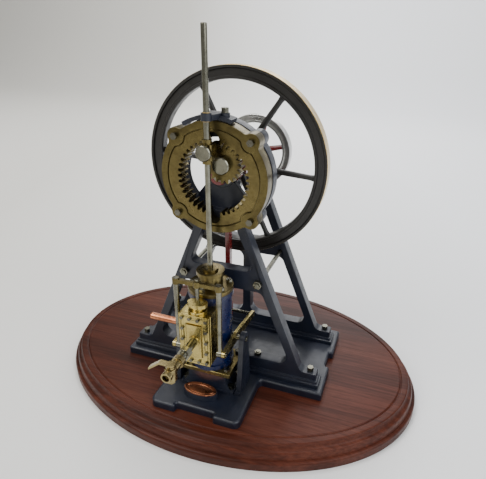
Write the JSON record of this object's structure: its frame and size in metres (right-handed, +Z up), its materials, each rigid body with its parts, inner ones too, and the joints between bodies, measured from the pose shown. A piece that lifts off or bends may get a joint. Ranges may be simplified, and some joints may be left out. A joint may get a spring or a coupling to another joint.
{
  "type": "model steam engine with hypocycloidal straight-line crank gear",
  "caption": "Model vertical steam engine: planet pinion in a fixed internal ring gear turns piston stroke into flywheel rotation, on an oval plinth.",
  "frame": {"origin": "centre of the plinth's underside", "axes": "+Z up, +X along the plinth's long axis across the engine, +Y from the cylinder back to the drive pulley"},
  "size_m": [0.387, 0.2864, 0.3487],
  "materials": {
    "mahogany": "satin varnished mahogany",
    "navy_paint": "dark navy enamel, satin gloss",
    "copper": "polished copper, slightly toned",
    "bush_brass": "turned brass",
    "steel": "bright turned steel",
    "aged_brass": "aged brass, satin",
    "bright_brass": "polished brass",
    "blue_enamel": "royal blue gloss enamel",
    "red_paint": "dark red gloss enamel",
    "flywheel_brass": "polished tread, dark painted faces",
    "pulley_metal": "bright rim, red painted spokes"
  },
  "bodies": {
    "frame": {"plinth": "mahogany", "baseplate": "navy_paint", "name_plate": "copper", "front_frame": "navy_paint", "rear_frame": "navy_paint", "front_bush": "bush_brass", "rear_bush": "bush_brass", "stay_rods": "steel", "stay_nuts": "steel", "foot_bolts": "steel", "sill_studs": "steel", "ring_housing": "aged_brass", "gear_ring": "aged_brass", "ring_bolts": "steel", "rod_guide_bracket": "navy_paint", "guide_bush": "bush_brass", "guide_screw": "steel", "cylinder_pedestal": "navy_paint", "pedestal_plate": "aged_brass", "pedestal_bolts": "steel", "cylinder": "blue_enamel", "cylinder_cover": "aged_brass", "cover_gland": "aged_brass", "cover_nuts": "steel", "valve_chest": "bright_brass", "chest_cover": "bright_brass", "chest_bolts": "steel", "chest_gland": "bright_brass", "rocker_brackets": "navy_paint", "rocker_pins": "steel", "exhaust_pipe": "copper", "steam_union": "steel", "cock_body": "bright_brass"},
    "crank": {"crankshaft": "steel", "crank_web": "red_paint", "crank_pin": "steel", "eccentric_sheave": "aged_brass", "flywheel": "flywheel_brass", "drive_pulley": "pulley_metal", "hub_screws": "steel"},
    "planet": {"pinion": "aged_brass", "rod_pin": "steel"},
    "crosshead": {"crosshead": "aged_brass", "piston_rod": "steel", "guide_rod": "steel", "piston": "steel", "piston_ring": "steel"},
    "eccentric": {"eccentric_strap": "red_paint", "eccentric_rod": "red_paint"},
    "rocker": {"rocker_levers": "aged_brass", "rocker_bar": "steel"},
    "valve": {"slide_valve": "bright_brass", "valve_rod": "steel", "valve_yoke": "aged_brass", "side_rods": "steel", "side_rod_pins": "steel"},
    "cock": {"cock_plug": "bright_brass", "cock_lever": "bright_brass", "plug_nut": "bright_brass"}
  },
  "joints": [
    {"name": "crank_turn", "type": "hinge", "parent": "frame", "child": "crank", "pos_m": [0, 0, 0.233], "axis": [0, -1, 0], "continuous": true},
    {"name": "planet_turn", "type": "hinge", "parent": "crank", "child": "planet", "pos_m": [0.00817, -0.05, 0.24558], "axis": [0, -1, 0], "continuous": true},
    {"name": "crosshead_turn", "type": "hinge", "parent": "planet", "child": "crosshead", "pos_m": [0, -0.0658, 0.25816], "axis": [0, -1, 0], "continuous": true},
    {"name": "eccentric_turn", "type": "hinge", "parent": "crank", "child": "eccentric", "pos_m": [-0.002, -0.0186, 0.233], "axis": [0, -1, 0], "continuous": true},
    {"name": "rocker_swing", "type": "hinge", "parent": "frame", "child": "rocker", "pos_m": [0, -0.0658, 0.088], "axis": [1, 0, 0], "range_deg": [-2.5, 2.5]},
    {"name": "valve_slide", "type": "slide", "parent": "frame", "child": "valve", "axis": [0, 0, 1], "range_m": [-0.0012, 0.0012]},
    {"name": "cock_turn", "type": "hinge", "parent": "frame", "child": "cock", "pos_m": [0, -0.143, 0.103], "axis": [0, 0, 1], "range_deg": [0, 90]}
  ],
  "couplings": [
    {"joint": "planet_turn", "follows": "crank_turn", "ratio": -2},
    {"joint": "crosshead_turn", "follows": "crank_turn", "ratio": 1},
    {"joint": "eccentric_turn", "follows": "crank_turn", "ratio": -1},
    {"joint": "valve_slide", "follows": "rocker_swing", "m_per_rad": -0.0272}
  ]
}
